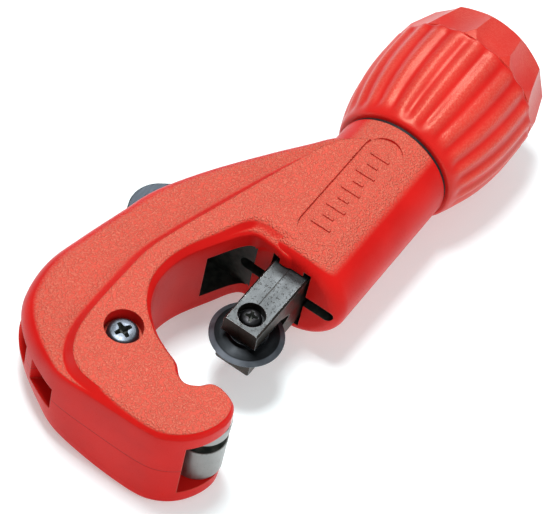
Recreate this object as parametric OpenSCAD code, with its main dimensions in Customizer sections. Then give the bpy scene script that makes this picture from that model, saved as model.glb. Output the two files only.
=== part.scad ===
// Screw-feed pipe cutter with a C-shaped cast frame, two guide rollers,
// a sliding wheel carriage and a fold-away deburring blade.
// Lengths are in millimetres. Sub-parts are drawn about the feed axis:
// X runs from the wheel towards the knob, Y towards the spine, Z is up,
// and at_base() then lifts them so the origin is at the bottom centre.

/* [Frame] */
// Radius of the barrel, and half the thickness of the frame
barrel_r = 16; // [15.6:0.1:16.4]
// Distance from the wheel's axle to the face of the throat
throat_x = 17.3; // [17:0.1:17.8]
// Distance from the wheel's axle to the end of the barrel
barrel_end = 66.8; // [66:0.1:67]
// Half the height of the slot that the deburring blade folds into
blade_slot_h = 4.3; // [4:0.1:4.6]
// Half the height of the pocket that the rollers sit in
roller_slot_h = 10.2; // [9.6:0.1:10.5]

/* [Knob] */
// Largest radius of the knob, over the ribs
knob_r = 22.2; // [21.5:0.1:23]
// Length of the knob with its end cap
knob_len = 48; // [46:0.2:50]
// Scallops round the knob's end cap; there are two ribs to each
knob_lobes = 12; // [8:1:14]
// Depth of the flutes between the ribs
flute_depth = 0.7; // [0.3:0.1:1.2]

/* [Cutting parts] */
// Radius of the cutter wheel
wheel_r = 9.6; // [8.5:0.1:9.8]
// Radius of a guide roller
roller_r = 6.5; // [6:0.1:6.6]
// Distance between the axes of the two rollers
roller_gap = 16; // [15.4:0.1:16.4]
// Thickness of the deburring blade
blade_t = 2.6; // [2:0.1:3]

/* [Feed] */
// Pitch of the feed screw
feed_pitch = 1.5; // [1:0.25:2]
// Crest radius of the feed screw
feed_r = 3.45; // [3:0.05:3.45]

/* [Hidden] */
$fn = 64;
eps = 0.01;
fit = 0.05;                      // radial clearance of a turning fit
gap = 0.3;                       // clearance of a loose part
side_x = -46.7;                  // outer side of the jaw
back_y = 48.8;                   // furthest back point of the spine
knob_x = 67.6;                   // front edge of the knob's skirt
knob_end = knob_x + knob_len;
swell_len = 46.4;                // length that the knob's swell is spread over
box_mid = [(side_x + knob_end) / 2, (back_y - knob_r) / 2];
pivot = [-27, 20];               // axis of the deburring blade
roller_x = -31;                  // both rollers' distance from the wheel
carriage_w = 5;                  // half width of the carriage
carriage_h = 8.8;                // half height of the carriage
carriage_front = -4.7;
carriage_back = 51;
arm_z = 3.3;                     // half height of the slot between the arms
neck_r = 13.5;                   // barrel neck inside the knob's skirt
neck_end = 78;
wall_x = 73;                     // inner face of the barrel's end wall
spindle_tip = 29.5;
spindle_end = 96;
journal_r = 4;                   // plain part of the feed spindle
flange_r = 5.3;
pin_x = 83;                      // pin that locks the knob to the spindle
skirt_bore_end = 80.2;           // end of the knob's hollow
head_floor = 98.2;               // seat of the knob's own screw
head_room_r = 6.5;               // pocket for its head
axle_r = 1.75;                   // wheel axle, and its thinner tip
axle_tip_r = 1.5;
axle_seat = 5.8;                 // height of the axle screw's seat
seam_x = 100;                    // joint between the knob and its cap
cap_spigot_r = 11;
screw_seat = 11.7;               // height of the deburrer screw's seat
pin_r = 2;                       // roller pins
pin_top = 12.5;
pin_low = -15.2;

// ---------- helpers ----------

// Stands the part on its lowest point, centred under its own box
module at_base() translate([-box_mid.x, -box_mid.y, knob_r]) children();

// Turns +Z onto +X, so that turned parts lie along the feed axis
module along_x(x = 0) translate([x, 0, 0]) rotate([0, 90, 0]) children();

// Flat ring on +Z
module ring(r_out, r_in, h) rotate_extrude() translate([r_in, 0]) square([r_out - r_in, h]);

function mix(a, b, t) = a + (b - a) * t;
function ramp(t) = let (c = min(max(t, 0), 1)) c * c * (3 - 2 * c);

// One span of a smooth curve through b and c, with a and d as neighbours
function curve_point(a, b, c, d, t) =
    0.5 * (2 * b + (c - a) * t + (2 * a - 5 * b + 4 * c - d) * t * t
           + (3 * b - a - 3 * c + d) * t * t * t);

// Closed smooth curve through the rows of p, with n steps in each span
function closed_curve(p, n) = let (m = len(p))
    [for (i = [0:m - 1], k = [0:n - 1])
        curve_point(p[(i + m - 1) % m], p[i], p[(i + 1) % m], p[(i + 2) % m], k / n)];

// Solid skin over rings of points that all have the same even count. Each end
// is closed by a strip that joins the first point to the last, and so on inwards.
module skin(rings) {
    n = len(rings[0]);
    m = len(rings);
    points = [for (ring_points = rings) each ring_points];
    sides = [for (j = [0:m - 2], i = [0:n - 1]) let (a = j * n + i, b = j * n + (i + 1) % n)
        each [[a, a + n, b], [b, a + n, b + n]]];
    cap = [for (i = [0:n / 2 - 2]) each [[i, i + 1, n - 2 - i], [i, n - 2 - i, n - 1 - i]]];
    far = (m - 1) * n;
    polyhedron(points, concat(sides, cap, [for (f = cap) [far + f[2], far + f[1], far + f[0]]]));
}

// ---------- frame ----------

// Control rows of the casting: crease of the flat top, outer edge, shelf share.
// The share is 1 where a cove and a low shelf run outside the crease, 0 where
// the flat top simply rounds over into the wall.
frame_rows = [
    // back of the spine, from the barrel to the heel
    [60, 3, 63, 9, 1], [55.5, 9.4, 59, 14.6, 1], [50, 12.8, 52.2, 19.3, 1],
    [41, 15.7, 42.8, 26.1, 1], [28, 19.5, 28.8, 35.1, 1], [16, 23, 16, 41.5, 1],
    [5, 26.2, 6, 44, 1], [-5, 28.5, -7, 47, 1], [-15, 28.8, -18, 49, 1],
    [-25, 28.8, -27.5, 47.8, 1], [-31, 28.5, -34, 44.6, 1],
    // heel, side and tip of the jaw
    [-36.4, 27.3, -39.4, 39, 1], [-41, 24.6, -43.6, 31.8, 0.9],
    [-43.7, 19.8, -46.1, 24.6, 0.6], [-44.3, 11, -46.7, 12, 0.15], [-44.2, 0, -46.6, 0, 0],
    [-43.2, -5.2, -45.3, -5.6, 0], [-40.8, -9.2, -42, -10.1, 0],
    [-36.6, -12, -37.2, -13.2, 0], [-32, -12.9, -32, -14.4, 0],
    // mouth of the jaw: a hump over each roller and a notch between them
    [-28.5, -11.9, -27.6, -13, 0], [-27, -9, -25.7, -9, 0], [-27.2, -6, -25.8, -5.4, 0],
    [-29.4, -4, -28.4, -2.9, 0], [-31, -0.6, -29.7, -0.5, 0], [-30.1, 2.8, -28.9, 2, 0],
    [-27.8, 5.4, -26.4, 4.7, 0], [-26.2, 9.4, -24.8, 8.6, 0], [-23.6, 14.4, -22.3, 13.4, 0],
    // inner side of the spine, the corner and the throat face
    [-18.6, 19.8, -17.6, 18.4, 0.1], [-12, 23.4, -11.6, 21.4, 0.15], [-5, 24.2, -5, 21.9, 0.15],
    [2.4, 22.8, 1.7, 20.4, 0.15], [11.6, 18.7, 10.4, 16.2, 0.2], [18, 15.6, 15.4, 13.4, 0.3],
    [21.3, 12.4, throat_x + 0.1, 11, 0.3], [21.5, 7, throat_x, 6.5, 0.3], [21.5, 1, throat_x, 0, 0.3],
    // inside the barrel
    [24, -0.3, 26, -6, 0], [57, -0.3, 60, -6, 0]];
frame_steps = 2;                 // curve steps between two control rows

// Section just outside the crease: share of the way out, share of the height
shelf_section = [[0, 1], [0.07, 0.89], [0.16, 0.79], [0.3, 0.725], [0.6, 0.685],
                 [0.84, 0.59], [0.96, 0.42], [1, 0.2]];
edge_section = [[0, 1], [0.3, 0.99], [0.55, 0.965], [0.75, 0.935], [0.9, 0.9],
                [1, 0.85], [1, 0.5], [1, 0.2]];

function frame_point(row, j, side) =
    let (s = mix(edge_section[j], shelf_section[j], min(max(row[4], 0), 1)))
    [mix(row[0], row[2], s[0]), mix(row[1], row[3], s[0]), side * barrel_r * s[1]];

module frame_body() {
    rows = closed_curve(frame_rows, frame_steps);
    last = len(shelf_section) - 1;
    low = [for (j = [0:last]) [for (row = rows) frame_point(row, j, -1)]];
    top = [for (j = [last:-1:0]) [for (row = rows) frame_point(row, j, 1)]];
    skin(concat(low, top));
    barrel();
}

// Barrel with a rounded front edge, and the neck inside the knob
module barrel() {
    front_r = 4;
    along_x() rotate_extrude() polygon(concat(
        [[0, throat_x]],
        [for (a = [0:15:90]) [barrel_r - front_r * (1 - sin(a)), throat_x + front_r * (1 - cos(a))]],
        [[barrel_r, barrel_end - 0.4], [barrel_r - 0.4, barrel_end], [neck_r, barrel_end],
         [neck_r, neck_end - 0.5], [neck_r - 0.5, neck_end], [0, neck_end]]));
}

// Channel that the carriage slides in, with relief grooves in its corners
module carriage_channel() {
    w = carriage_w + 0.6;
    h = carriage_h + 0.4;
    front = throat_x - 2;
    translate([front, -w, -h]) cube([wall_x - front, 2 * w, 2 * h]);
    for (y = [-1, 1])
        translate([front, y * (w - 1.1) - 1.1, -h - 1.8]) cube([wall_x - front, 2.2, 2 * h + 3.6]);
    along_x(wall_x - 1) cylinder(r = journal_r + fit, h = neck_end - wall_x + 2);
}

// Flat slot across the throat face that the rim of the wheel backs into
module wheel_slot() {
    half = 14;
    slot_h = 2;
    depth = 29.5;
    for (y = [-1, 1]) translate([0, y * (half - slot_h), 0]) along_x(throat_x - 2)
        cylinder(r = slot_h, h = depth - throat_x + 2);
    translate([throat_x - 2, slot_h - half, -slot_h])
        cube([depth - throat_x + 2, 2 * (half - slot_h), 2 * slot_h]);
}

// Opening in the corner of the throat, into the hollow of the spine
module spine_window() {
    left = 6.8;
    half_h = 8.4;
    translate([left, 10, -half_h]) cube([throat_x + 0.2 - left, 18, 2 * half_h]);
}

// Slot in the spine for the folded blade, open along the back and at the heel
module blade_slot() {
    difference() {
        translate([0, 0, -blade_slot_h]) linear_extrude(2 * blade_slot_h) {
            translate(pivot) circle(r = 4.8);
            polygon([[-22.8, 17.6], [-15, 24.2], [34.5, 28.2], [36, 40], [20, 60],
                     [-60, 60], [-60, 28], [-44, 26], [-31.7, 19]]);
        }
        // web across the slot at the heel
        translate([0, 0, -blade_slot_h - 1]) linear_extrude(2 * blade_slot_h + 2)
            rotate(-52) translate([-54.9, -11.4]) square([6, 3.4]);
    }
}

// Pocket for both rollers, open to the throat and at the tip of the jaw
module roller_pocket() {
    corner = 3;
    left = -42.1;
    far = roller_gap / 2 + roller_r + 0.6;
    translate([0, 0, -roller_slot_h]) linear_extrude(2 * roller_slot_h) {
        translate([left + corner, -25]) square([30, 25 + far]);
        translate([left, -25]) square([corner + 1, 25 + far - corner]);
        translate([left + corner, far - corner]) circle(r = corner);
    }
}

// Sunk panel on the top of the barrel, with a generic scale of raised bars
module panel() {
    floor_z = barrel_r - 0.8;
    half_w = 5.4;
    x0 = 27.8;
    x1 = 57;
    bars = 9;
    difference() {
        translate([0, 0, floor_z]) linear_extrude(4) {
            translate([x0, 0]) circle(r = half_w);
            translate([x1, 0]) circle(r = half_w);
            translate([x0, -half_w]) square([x1 - x0, 2 * half_w]);
        }
        for (i = [0:bars - 1]) translate([mix(x0 + 1, x1 - 1, i / (bars - 1)), 0, floor_z])
            translate([-0.4, i % 2 == 0 ? -3 : -1.6, -1]) cube([0.8, i % 2 == 0 ? 6 : 3.2, 1.45]);
    }
}

// Stepped hole for the deburrer's screw, with a hexagon pocket below
module pivot_hole() translate(pivot) {
    translate([0, 0, screw_seat]) cylinder(r = 4.9, h = 10);
    translate([0, 0, -barrel_r - 1]) cylinder(r = 2.1, h = 2 * barrel_r);
    translate([0, 0, -barrel_r - 1]) cylinder(r = 4.2, h = 4.6, $fn = 6);
}

module roller_holes() for (y = [-1, 1])
    translate([roller_x, y * roller_gap / 2, -barrel_r - 1])
        cylinder(r = pin_r + fit, h = barrel_r + 1 + pin_top);

module frame() color("firebrick") at_base() difference() {
    frame_body();
    carriage_channel();
    wheel_slot();
    spine_window();
    blade_slot();
    roller_pocket();
    panel();
    pivot_hole();
    roller_holes();
}

// ---------- knob ----------

// Ridge radius along the knob: a quick swell at the skirt, a slow fall to the end
function knob_radius(x) =
    let (s = (x - knob_x) / swell_len,
         swell = 1 - pow(max(0, 1 - s / 0.55), 2.2) * 0.225,
         fall = 1 - pow(max(0, (s - 0.55) / 0.45), 2) * 0.03)
    knob_r * swell * fall;

// Height of the ribs, 0 to 1: even waves, with a scallop of the cap at every other flute
rib_phase = 92.8;
function ribs(a) = (1 + cos(2 * knob_lobes * (a - rib_phase))) / 2;
scallop_phase = rib_phase + 90 / knob_lobes;
// The flutes run out a little way short of the skirt and of the cap
function flute_share(x) = ramp((x - knob_x - 0.8) / 4) * (1 - 0.75 * ramp((x - seam_x + 2.5) / 2.5));

module knob_body() {
    edge = 0.7;
    lines = knob_lobes * 16;
    xs = concat([knob_x], [knob_x + edge], [for (x = [knob_x + 2.4:3:seam_x - 2]) x], [seam_x]);
    skin([for (x = xs) [for (i = [0:lines - 1])
        let (a = i * 360 / lines,
             r = knob_radius(x) - (x == knob_x ? edge : 0)
                 - flute_depth * flute_share(x) * (1 - ribs(a)))
        [x, r * cos(a), r * sin(a)]]]);
}

module knob() color("firebrick") at_base() difference() {
    knob_body();
    along_x(knob_x - 1) cylinder(r = neck_r + 0.5, h = skirt_bore_end - knob_x + 1);
    along_x(knob_x) cylinder(r = journal_r + fit, h = spindle_end + 0.2 - knob_x);
    along_x(spindle_end - 1) cylinder(r = 2.2, h = 10);
    along_x(head_floor) cylinder(r = head_room_r, h = 10);
    translate([pin_x, 0, -8.2]) cylinder(r = 1.3, h = 16.4);
    along_x(seam_x - 4.2) ring(cap_spigot_r + fit, cap_spigot_r - 2.2, 10);
}

// End cap: rounded shoulder and domed end, cut by a ring of shallow scallops
module knob_cap() color("firebrick") at_base() {
    r0 = knob_radius(seam_x) - 0.2;
    len = knob_end - seam_x;
    // share of the length, share of the radius
    profile = [[0.01, 1], [0.26, 0.99], [0.5, 0.955], [0.7, 0.895], [0.82, 0.825],
               [0.9, 0.735], [0.955, 0.6], [0.99, 0.38], [1, 0]];
    scoop_r = 25;
    scoop_tilt = 17;
    scoop_step = 0.6;            // depth of a scallop where it starts at the seam
    difference() {
        union() {
            along_x() rotate_extrude() polygon(concat([[0, seam_x + 0.1]],
                [for (p = profile) [p[1] * r0, seam_x + p[0] * len]]));
            along_x(seam_x - 4) ring(cap_spigot_r, cap_spigot_r - 2, 4.2);
        }
        along_x(seam_x - 1) cylinder(r = head_room_r, h = 4);
        for (i = [0:knob_lobes - 1]) rotate([scallop_phase - 90 + i * 360 / knob_lobes, 0, 0])
            translate([seam_x + 0.2, 0, r0 - scoop_step + scoop_r / cos(scoop_tilt)])
                rotate([0, 90 + scoop_tilt, 0]) translate([0, 0, -30]) cylinder(r = scoop_r, h = 70);
    }
}

module knob_slide_ring() color("black") at_base()
    along_x(barrel_end + 0.05) ring(barrel_r - 0.3, neck_r + fit, knob_x - barrel_end - 0.1);

// ---------- feed ----------

// Feed spindle: ring-cut thread, thrust flange, journal and ring groove
module feed_spindle() color("dimgray") at_base() {
    root = feed_r - 0.55;
    threads = floor((69.5 - spindle_tip - 1) / feed_pitch);
    difference() {
        along_x() rotate_extrude() polygon(concat(
            [[0, spindle_tip], [root - 0.4, spindle_tip], [root, spindle_tip + 0.6]],
            [for (i = [0:threads - 1], k = [[0, 0], [0.3, 1], [0.5, 1], [0.8, 0]])
                [root + k[1] * (feed_r - root), spindle_tip + 1 + (i + k[0]) * feed_pitch]],
            [[root, 70], [flange_r, 70], [flange_r, 72], [journal_r, 72], [journal_r, 79.05],
             [3.3, 79.05], [3.3, 80], [journal_r, 80], [journal_r, spindle_end - 0.5],
             [journal_r - 0.5, spindle_end], [0, spindle_end]]));
        along_x(spindle_end - 10) cylinder(r = 2, h = 12);
        translate([pin_x, 0, -8]) cylinder(r = 1.25 + fit, h = 16);
    }
}

module thrust_washer() color("goldenrod") at_base()
    along_x(72.02) ring(flange_r, journal_r + fit, wall_x - 72.04);

module outer_washer() color("silver") at_base()
    along_x(neck_end + 0.02) ring(7, journal_r + fit, 0.98);

// Open spring ring in the spindle's groove
module retaining_ring() color("dimgray") at_base() difference() {
    along_x(79.1) ring(5.6, 3.35, 0.85);
    translate([78, -1.5, 0]) cube([3, 3, 8]);
}

module knob_screw() color("silver") at_base() difference() {
    shank_r = 1.97;
    head_r = 3.9;
    seat = head_floor + 0.84;
    along_x() rotate_extrude() polygon([[0, 87], [shank_r, 87], [shank_r, seat], [head_r, seat],
        [head_r, seat + 1.36], [head_r - 0.7, seat + 2.36], [0, seat + 2.56]]);
    for (a = [0, 90]) rotate([a, 0, 0]) translate([100, -2.2, -0.45]) cube([3, 4.4, 0.9]);
}

module knob_screw_washer() color("silver") at_base() along_x(head_floor + 0.02) ring(5.5, 2.2, 0.8);

module drive_pin() color("silver") at_base() translate([pin_x, 0, -8]) cylinder(r = 1.25, h = 16);

// ---------- carriage ----------

// Slot between the arms: parallel round the hub, then drawn to a point
module arm_slot() translate([0, carriage_w + 1, 0]) rotate([90, 0, 0])
    linear_extrude(2 * carriage_w + 2)
        polygon([[carriage_front - 1, -arm_z], [6.5, -arm_z], [11.4, -0.5], [11.4, 0.5],
                 [6.5, arm_z], [carriage_front - 1, arm_z]]);

module carriage() color("slategray") at_base() difference() {
    bevel = 0.5;
    rotate([0, 90, 0]) translate([0, 0, carriage_front]) linear_extrude(carriage_back - carriage_front)
        polygon([[-carriage_h, bevel - carriage_w], [bevel - carriage_h, -carriage_w],
                 [carriage_h - bevel, -carriage_w], [carriage_h, bevel - carriage_w],
                 [carriage_h, carriage_w - bevel], [carriage_h - bevel, carriage_w],
                 [bevel - carriage_h, carriage_w], [-carriage_h, carriage_w - bevel]]);
    arm_slot();
    translate([0, 0, axle_seat]) cylinder(r = 3.6, h = 4);
    cylinder(r = axle_r + fit, h = 12);
    translate([0, 0, -carriage_h - 1]) cylinder(r = axle_tip_r + fit, h = 12);
    along_x(10.8) cylinder(r = feed_r + 0.35, h = 28.2);
    along_x(30) cylinder(r = feed_r + fit, h = 30);
}

// Pan-head cross-slot screw that the wheel turns on
module wheel_axle_screw() color("dimgray") at_base() difference() {
    seat = axle_seat + 0.02;
    rotate_extrude() polygon([[0, 1 - carriage_h], [axle_tip_r, 1 - carriage_h], [axle_tip_r, -arm_z],
        [axle_r, -arm_z], [axle_r, seat], [2.9, seat], [2.9, seat + 1.48], [2.4, seat + 2.13],
        [1.4, seat + 2.48], [0, seat + 2.58]]);
    for (a = [20, 110]) rotate(a) translate([-2.2, -0.45, 7]) cube([4.4, 0.9, 3]);
}

// Hardened wheel: hub with a bevelled rim drawn to an edge
module cutter_wheel() color("lightslategray") at_base() difference() {
    hub_r = 5.3;
    hub_h = 2.9;
    rotate_extrude() polygon([[0, -hub_h], [hub_r - 0.4, -hub_h], [hub_r, 0.4 - hub_h], [hub_r, -1.5],
        [wheel_r - 2.4, -1], [wheel_r, -0.05], [wheel_r, 0.05], [wheel_r - 2.4, 1], [hub_r, 1.5],
        [hub_r, hub_h - 0.4], [hub_r - 0.4, hub_h], [0, hub_h]]);
    translate([0, 0, -5]) cylinder(r = axle_r + fit, h = 10);
}

// ---------- rollers ----------

// Roller with a flare groove above its middle
module roller(y) color("lightgray") at_base() translate([roller_x, y, 0]) difference() {
    h = roller_slot_h - gap;
    groove_r = roller_r - 2.2;
    rotate_extrude() polygon([[0, -h], [roller_r - 0.5, -h], [roller_r, 0.5 - h], [roller_r, 2.2],
        [groove_r + 0.4, 2.5], [groove_r, 2.9], [groove_r, 5.3], [groove_r + 0.4, 5.7], [roller_r, 5.9],
        [roller_r, h - 0.5], [roller_r - 0.5, h], [0, h]]);
    translate([0, 0, -h - 1]) cylinder(r = pin_r + fit, h = 2 * h + 2);
}
module roller_outer() roller(-roller_gap / 2);
module roller_inner() roller(roller_gap / 2);

module roller_pin(y) color("silver") at_base() translate([roller_x, y, 0])
    rotate_extrude() polygon([[0, pin_low], [pin_r - 0.3, pin_low], [pin_r, pin_low + 0.3],
        [pin_r, pin_top - 1], [pin_r - 0.5, pin_top - 0.5], [0, pin_top - 0.5]]);
module roller_pin_outer() roller_pin(-roller_gap / 2);
module roller_pin_inner() roller_pin(roller_gap / 2);

// ---------- deburrer ----------

boss_r = 4.2;
// centre and radius of each disc that the blade is drawn over: boss, waist, lug, tip
blade_discs = [[pivot, boss_r], [[-17.5, 29.5], 3.6], [[15.9, 37.4], 8.8], [[31.5, 30.2], 0.8]];

// Blade: boss, waist, round thumb lug and a ground point
module deburrer_blade() color("slategray") at_base() difference() {
    union() {
        translate([0, 0, -blade_t / 2]) linear_extrude(blade_t)
            for (i = [0:len(blade_discs) - 2]) hull() {
                translate(blade_discs[i][0]) circle(r = blade_discs[i][1], $fn = 48);
                translate(blade_discs[i + 1][0]) circle(r = blade_discs[i + 1][1], $fn = 48);
            }
        translate([pivot.x, pivot.y, -blade_t / 2]) cylinder(r = boss_r, h = blade_t);
    }
    translate([pivot.x, pivot.y, -5]) cylinder(r = pin_r + fit, h = 10);
}

// Sunk pan-head screw with a cross recess
module deburrer_screw() color("silver") at_base() translate(pivot) difference() {
    seat = screw_seat + 0.02;
    rotate_extrude() polygon([[0, pin_low], [1.7, pin_low], [2, pin_low + 0.3], [2, seat], [4, seat],
        [4, seat + 1.48], [3.6, seat + 2.18], [2.6, seat + 2.63], [1.2, seat + 2.83], [0, seat + 2.88]]);
    for (a = [-25, 65]) rotate(a) translate([-2.2, -0.5, 12.9]) cube([4.4, 1, 3]);
}

module deburrer_wave_washer() color("goldenrod") at_base()
    translate([pivot.x, pivot.y, blade_t / 2 + 0.02]) ring(boss_r, 2 + fit, blade_slot_h - blade_t / 2 - 0.04);

module deburrer_spacer() color("silver") at_base()
    translate([pivot.x, pivot.y, 0.02 - blade_slot_h]) ring(boss_r, 2 + fit, blade_slot_h - blade_t / 2 - 0.04);

module deburrer_nut() color("silver") at_base() translate([pivot.x, pivot.y, -barrel_r + 0.3]) difference() {
    cylinder(r = 4, h = 3.2, $fn = 6);
    translate([0, 0, -1]) cylinder(r = 2 + fit, h = 6);
}

frame();
knob();
knob_cap();
knob_slide_ring();
feed_spindle();
thrust_washer();
outer_washer();
retaining_ring();
knob_screw();
knob_screw_washer();
drive_pin();
carriage();
wheel_axle_screw();
cutter_wheel();
roller_outer();
roller_inner();
roller_pin_outer();
roller_pin_inner();
deburrer_blade();
deburrer_screw();
deburrer_wave_washer();
deburrer_spacer();
deburrer_nut();
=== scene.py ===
import math

import bmesh
import bpy
from mathutils import Matrix, Vector


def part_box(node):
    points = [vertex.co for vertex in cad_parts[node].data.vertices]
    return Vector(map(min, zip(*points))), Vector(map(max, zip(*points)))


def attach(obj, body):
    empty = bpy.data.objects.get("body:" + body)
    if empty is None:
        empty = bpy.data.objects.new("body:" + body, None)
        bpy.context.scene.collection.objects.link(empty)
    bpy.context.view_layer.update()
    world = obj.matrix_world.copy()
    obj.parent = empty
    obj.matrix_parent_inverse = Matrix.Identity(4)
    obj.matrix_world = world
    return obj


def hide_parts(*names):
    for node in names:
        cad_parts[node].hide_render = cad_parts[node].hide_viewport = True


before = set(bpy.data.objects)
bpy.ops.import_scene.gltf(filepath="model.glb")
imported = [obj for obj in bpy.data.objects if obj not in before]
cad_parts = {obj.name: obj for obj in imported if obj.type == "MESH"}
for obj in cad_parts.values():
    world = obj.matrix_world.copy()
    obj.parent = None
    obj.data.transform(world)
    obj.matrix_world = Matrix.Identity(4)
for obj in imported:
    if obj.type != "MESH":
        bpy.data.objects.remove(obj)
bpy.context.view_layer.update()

# Shapes are drawn in millimetres in the tool's own frame, with the wheel's axle at its origin:
# X runs along the feed screw to the knob, Y to the spine and Z up.
MM = 0.001
wheel_low, wheel_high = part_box("cutter_wheel")
ORIGIN = (wheel_low + wheel_high) / 2
TO_ROW = Matrix.Translation(ORIGIN) @ Matrix.Scale(MM, 4)
TO_TOOL = TO_ROW.inverted()


def extent(node):
    """Lowest and highest corner of a CAD node in the tool's frame, in millimetres."""
    low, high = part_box(node)
    return (low - ORIGIN) / MM, (high - ORIGIN) / MM


def middle(node):
    low, high = extent(node)
    return (low + high) / 2


def mix(a, b, t):
    return a + (b - a) * t


def ramp(t):
    t = min(max(t, 0.0), 1.0)
    return t * t * (3 - 2 * t)


# ---------- sizes, read from the frame ----------

FRAME_LOW, FRAME_HIGH = extent("frame")
BARREL_R = FRAME_HIGH.z
KNOB_X = extent("knob")[0].x
SEAM_X = extent("knob_cap")[0].x + 4
KNOB_END = extent("knob_cap")[1].x
KNOB_R = extent("knob")[1].z
BARREL_END = extent("knob_slide_ring")[0].x - 0.05
CARRIAGE_LOW, CARRIAGE_HIGH = extent("carriage")
WHEEL_R = extent("cutter_wheel")[1].x
HUB_H = extent("cutter_wheel")[1].z
ROLLER_X = middle("roller_outer").x
ROLLER_Y = middle("roller_inner").y
ROLLER_R = extent("roller_outer")[1].y + ROLLER_Y
ROLLER_H = extent("roller_outer")[1].z
PIVOT = middle("deburrer_nut")
SCREW_TOP = extent("deburrer_screw")[1].z
BLADE_HALF = extent("deburrer_blade")[1].z
LUG_R = 8.8
LUG = Vector((15.9, extent("deburrer_blade")[1].y - LUG_R, 0))
THROAT_X = 17.3
CHANNEL_END = 73  # inside of the barrel's end wall
NECK_END = 78  # outside of it, inside the knob
LOBES = 12  # scallops of the cap
SPINDLE_BORE_R = 4.05
HEAD_FLOOR = extent("knob_screw_washer")[0].x - 0.02  # seat of the knob's own screw
HEAD_ROOM_R = 6.5


# ---------- curves ----------

def curve_point(a, b, c, d, t):
    """Point of a smooth curve between b and c, with a and d as neighbours."""
    return 0.5 * (2 * b + (c - a) * t + (2 * a - 5 * b + 4 * c - d) * t ** 2
                  + (3 * b - a - 3 * c + d) * t ** 3)


def closed_curve(rows, steps, straight=0):
    """Smooth closed curve through the rows; the last few spans may run straight."""
    n = len(rows)
    fine = []
    for i in range(n):
        before, start, end, after = (rows[(i + k) % n] for k in (-1, 0, 1, 2))
        for s in range(steps):
            if i < n - straight:
                fine.append([curve_point(*axis, s / steps) for axis in zip(before, start, end, after)])
            else:
                fine.append([mix(a, b, s / steps) for a, b in zip(start, end)])
    return fine


def open_curve(rows, steps):
    ends = [rows[0]] + rows + [rows[-1]]
    fine = [[curve_point(*(ends[i + k][axis] for k in range(4)), s / steps)
             for axis in range(len(rows[0]))] for i in range(len(rows) - 1) for s in range(steps)]
    return fine + [rows[-1]]


def arc(centre, radius, start, end, steps):
    """Points on a circle from one angle to the other, in degrees."""
    angles = [math.radians(mix(start, end, i / steps)) for i in range(steps + 1)]
    return [(centre[0] + radius * math.cos(a), centre[1] + radius * math.sin(a)) for a in angles]


# ---------- meshes ----------

def mesh_object(name, points, faces, matrix=None):
    """Object in the row frame from points in the tool's frame."""
    mesh = bpy.data.meshes.new(name)
    mesh.from_pydata([tuple(p) for p in points], [], faces)
    if matrix is not None:
        mesh.transform(matrix)
    mesh.transform(TO_ROW)
    build = bmesh.new()
    build.from_mesh(mesh)
    bmesh.ops.remove_doubles(build, verts=build.verts, dist=1e-7)
    bmesh.ops.recalc_face_normals(build, faces=build.faces)
    build.to_mesh(mesh)
    build.free()
    ob = bpy.data.objects.new(name, mesh)
    bpy.context.scene.collection.objects.link(ob)
    return ob


def ring_faces(rings, size):
    return [(j * size + i, j * size + (i + 1) % size, (j + 1) * size + (i + 1) % size, (j + 1) * size + i)
            for j in range(rings - 1) for i in range(size)]


def closed_faces(rings, size):
    """Faces of a stack of rings with both of its ends closed."""
    return ring_faces(rings, size) + [tuple(range(size - 1, -1, -1)),
                                      tuple(range((rings - 1) * size, rings * size))]


def prism(name, outline, low, high, top_scale=1.0, centre=(0, 0)):
    """Upright solid over an outline; its top may be larger or smaller than its foot."""
    grown = [(mix(centre[0], x, top_scale), mix(centre[1], y, top_scale)) for x, y in outline]
    points = [(x, y, low) for x, y in outline] + [(x, y, high) for x, y in grown]
    return mesh_object(name, points, closed_faces(2, len(outline)))


def lathe(name, profile, segments, matrix=None):
    """Solid of revolution on Z from (radius, height) points that start and end on the axis."""
    rings = [[(r * math.cos(a), r * math.sin(a), z) for a in
              (2 * math.pi * i / segments for i in range(segments))] for r, z in profile]
    return mesh_object(name, [p for ring in rings for p in ring], ring_faces(len(rings), segments), matrix)


def rounded(profile, radius, steps=4):
    """The profile with each of its inner corners turned into a short arc."""
    out = [profile[0]]
    for before, corner, after in zip(profile, profile[1:], profile[2:]):
        a, b, c = (Vector(p) for p in (before, corner, after))
        reach = min(radius, (a - b).length * 0.45, (c - b).length * 0.45)
        start, end = b + (a - b).normalized() * reach, b + (c - b).normalized() * reach
        for i in range(steps + 1):
            t = i / steps
            out.append(tuple(start * (1 - t) ** 2 + b * 2 * t * (1 - t) + end * t ** 2))
    return out + [profile[-1]]


def on_axle(x, y, z=0.0):
    return Matrix.Translation((x, y, z))


def along_feed(x=0.0):
    """Turns +Z onto the feed axis."""
    return Matrix.Translation((x, 0, 0)) @ Matrix.Rotation(math.pi / 2, 4, "Y")


def apply_modifiers(ob):
    depsgraph = bpy.context.evaluated_depsgraph_get()
    depsgraph.update()
    mesh = bpy.data.meshes.new_from_object(ob.evaluated_get(depsgraph))
    ob.modifiers.clear()
    ob.data = mesh


def cut(ob, cutters, operation="DIFFERENCE", tolerant=False):
    """Cuts each cutter from ob, or joins it on; the new faces keep the cutter's material."""
    for cutter in cutters:
        boolean = ob.modifiers.new("cut", "BOOLEAN")
        boolean.operation = operation
        boolean.solver = "EXACT"
        boolean.material_mode = "TRANSFER"
        boolean.use_self = tolerant
        boolean.object = cutter
        apply_modifiers(ob)
        bpy.data.objects.remove(cutter)


def coat(ob, material):
    """One material on the whole of a mesh."""
    ob.data.materials.clear()
    ob.data.materials.append(material)
    ob.data.polygons.foreach_set("material_index", [0] * len(ob.data.polygons))


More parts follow.
